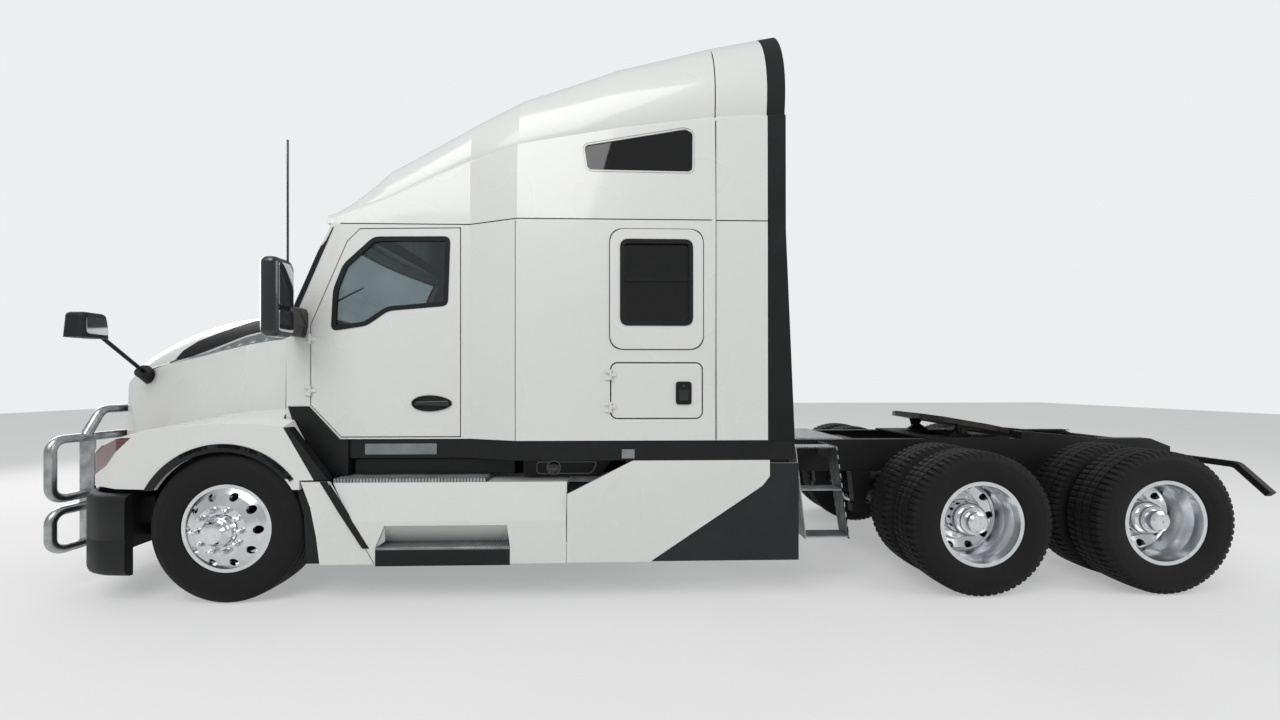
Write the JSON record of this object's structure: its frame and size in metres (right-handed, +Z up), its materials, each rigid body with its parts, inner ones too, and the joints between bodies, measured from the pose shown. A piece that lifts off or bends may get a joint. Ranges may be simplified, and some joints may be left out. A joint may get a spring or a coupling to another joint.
{
  "type": "semi truck tractor unit with high-roof sleeper",
  "caption": "Conventional road tractor with high-roof sleeper cab, tilting hood, nose guard, tandem drive axles on twin tyres and a tilting fifth wheel.",
  "frame": {"origin": "on the floor under the middle of the whole vehicle", "axes": "+X backwards along the vehicle, +Y to its right, +Z up"},
  "size_m": [8.906, 2.84, 4.1039],
  "materials": {
    "white_paint": "gloss white enamel",
    "black_plastic": "grained black moulding",
    "slate_plastic": "dark slate moulding",
    "gloss_black": "gloss black moulding",
    "dark_trim": "soft-touch trim",
    "cloth": "woven seat cloth",
    "tinted_glass": "tinted",
    "tread_metal": "punched tread",
    "chassis_black": "chassis black",
    "cast_engine": "cast",
    "edge_rubber": "extruded rubber",
    "greased_steel": "greased casting",
    "spring_steel": "painted spring steel",
    "tank_aluminium": "mill aluminium",
    "brushed_tube": "brushed stainless tube",
    "lamp_lens": "clear lens over lamp",
    "tyre_rubber": "tyre black",
    "polished_rim": "polished forged aluminium"
  },
  "bodies": {
    "truck": {"frame": "chassis_black", "axles": "chassis_black", "springs": "spring_steel", "engine": "cast_engine", "fuel_tanks": "tank_aluminium", "bumper": "black_plastic", "cab_shell": "white_paint", "sleeper_shell": "white_paint", "roof": "white_paint", "extenders": "white_paint", "extender_edges": "edge_rubber", "cab_glass": "tinted_glass", "side_fairings": "white_paint", "dark_skirts": "slate_plastic", "steps_and_deck": "tread_metal", "fifth_wheel_base": "chassis_black", "dashboard": "dark_trim", "seats_and_bunk": "cloth", "cab_mirrors": "gloss_black"},
    "hood_lid": {"hood": "white_paint", "grille": "black_plastic", "headlamps": "lamp_lens", "hood_trims": "black_plastic"},
    "nose_guard": {"guard": "brushed_tube"},
    "fifth_wheel_top": {"fifth_wheel_plate": "greased_steel"},
    "door_left_leaf": {"door_left": "white_paint", "door_glass_left": "tinted_glass"},
    "baggage_left_leaf": {"baggage_door_left": "white_paint"},
    "knuckle_left_body": {"knuckle_left": "chassis_black"},
    "steer_wheel_left": {"tyre_steer_left": "tyre_rubber", "rim_steer_left": "polished_rim"},
    "dual_1_left": {"tyres_drive_1_left": "tyre_rubber", "rims_drive_1_left": "polished_rim"},
    "dual_2_left": {"tyres_drive_2_left": "tyre_rubber", "rims_drive_2_left": "polished_rim"},
    "door_right_leaf": {"door_right": "white_paint", "door_glass_right": "tinted_glass"},
    "baggage_right_leaf": {"baggage_door_right": "white_paint"},
    "knuckle_right_body": {"knuckle_right": "chassis_black"},
    "steer_wheel_right": {"tyre_steer_right": "tyre_rubber", "rim_steer_right": "polished_rim"},
    "dual_1_right": {"tyres_drive_1_right": "tyre_rubber", "rims_drive_1_right": "polished_rim"},
    "dual_2_right": {"tyres_drive_2_right": "tyre_rubber", "rims_drive_2_right": "polished_rim"}
  },
  "joints": [
    {"name": "hood_tilt", "type": "hinge", "parent": "truck", "child": "hood_lid", "pos_m": [-4.196, 0, 0.69], "axis": [0, -1, 0], "range_deg": [0, 75]},
    {"name": "guard_fold", "type": "hinge", "parent": "truck", "child": "nose_guard", "pos_m": [-4.411, 0, 0.28], "axis": [0, -1, 0], "range_deg": [0, 90]},
    {"name": "fifth_wheel_tilt", "type": "hinge", "parent": "truck", "child": "fifth_wheel_top", "pos_m": [2.654, 0, 1.08], "axis": [0, -1, 0], "range_deg": [0, 20]},
    {"name": "door_left_hinge", "type": "hinge", "parent": "truck", "child": "door_left_leaf", "pos_m": [-2.495, -1.071, 1.62], "axis": [0, 0, -1], "range_deg": [0, 60]},
    {"name": "baggage_left_hinge", "type": "hinge", "parent": "truck", "child": "baggage_left_leaf", "pos_m": [-0.3945, -1.211, 1.44], "axis": [0, 0, -1], "range_deg": [0, 100]},
    {"name": "steer_left", "type": "hinge", "parent": "truck", "child": "knuckle_left_body", "pos_m": [-2.991, -0.85, 0.508], "axis": [0, 0, 1], "range_deg": [-40, 40]},
    {"name": "steer_wheel_left_spin", "type": "hinge", "parent": "knuckle_left_body", "child": "steer_wheel_left", "pos_m": [-2.991, -1.04, 0.508], "axis": [0, 1, 0], "continuous": true},
    {"name": "dual_1_left_spin", "type": "hinge", "parent": "truck", "child": "dual_1_left", "pos_m": [2.189, -0.925, 0.508], "axis": [0, 1, 0], "continuous": true},
    {"name": "dual_2_left_spin", "type": "hinge", "parent": "truck", "child": "dual_2_left", "pos_m": [3.509, -0.925, 0.508], "axis": [0, 1, 0], "continuous": true},
    {"name": "door_right_hinge", "type": "hinge", "parent": "truck", "child": "door_right_leaf", "pos_m": [-2.495, 1.071, 1.62], "axis": [0, 0, 1], "range_deg": [0, 60]},
    {"name": "baggage_right_hinge", "type": "hinge", "parent": "truck", "child": "baggage_right_leaf", "pos_m": [-0.3945, 1.211, 1.44], "axis": [0, 0, 1], "range_deg": [0, 100]},
    {"name": "steer_right", "type": "hinge", "parent": "truck", "child": "knuckle_right_body", "pos_m": [-2.991, 0.85, 0.508], "axis": [0, 0, 1], "range_deg": [-40, 40]},
    {"name": "steer_wheel_right_spin", "type": "hinge", "parent": "knuckle_right_body", "child": "steer_wheel_right", "pos_m": [-2.991, 1.04, 0.508], "axis": [0, 1, 0], "continuous": true},
    {"name": "dual_1_right_spin", "type": "hinge", "parent": "truck", "child": "dual_1_right", "pos_m": [2.189, 0.925, 0.508], "axis": [0, 1, 0], "continuous": true},
    {"name": "dual_2_right_spin", "type": "hinge", "parent": "truck", "child": "dual_2_right", "pos_m": [3.509, 0.925, 0.508], "axis": [0, 1, 0], "continuous": true}
  ],
  "couplings": [
    {"joint": "steer_right", "follows": "steer_left", "ratio": 1},
    {"joint": "guard_fold", "follows": "hood_tilt", "ratio": 1.2}
  ]
}
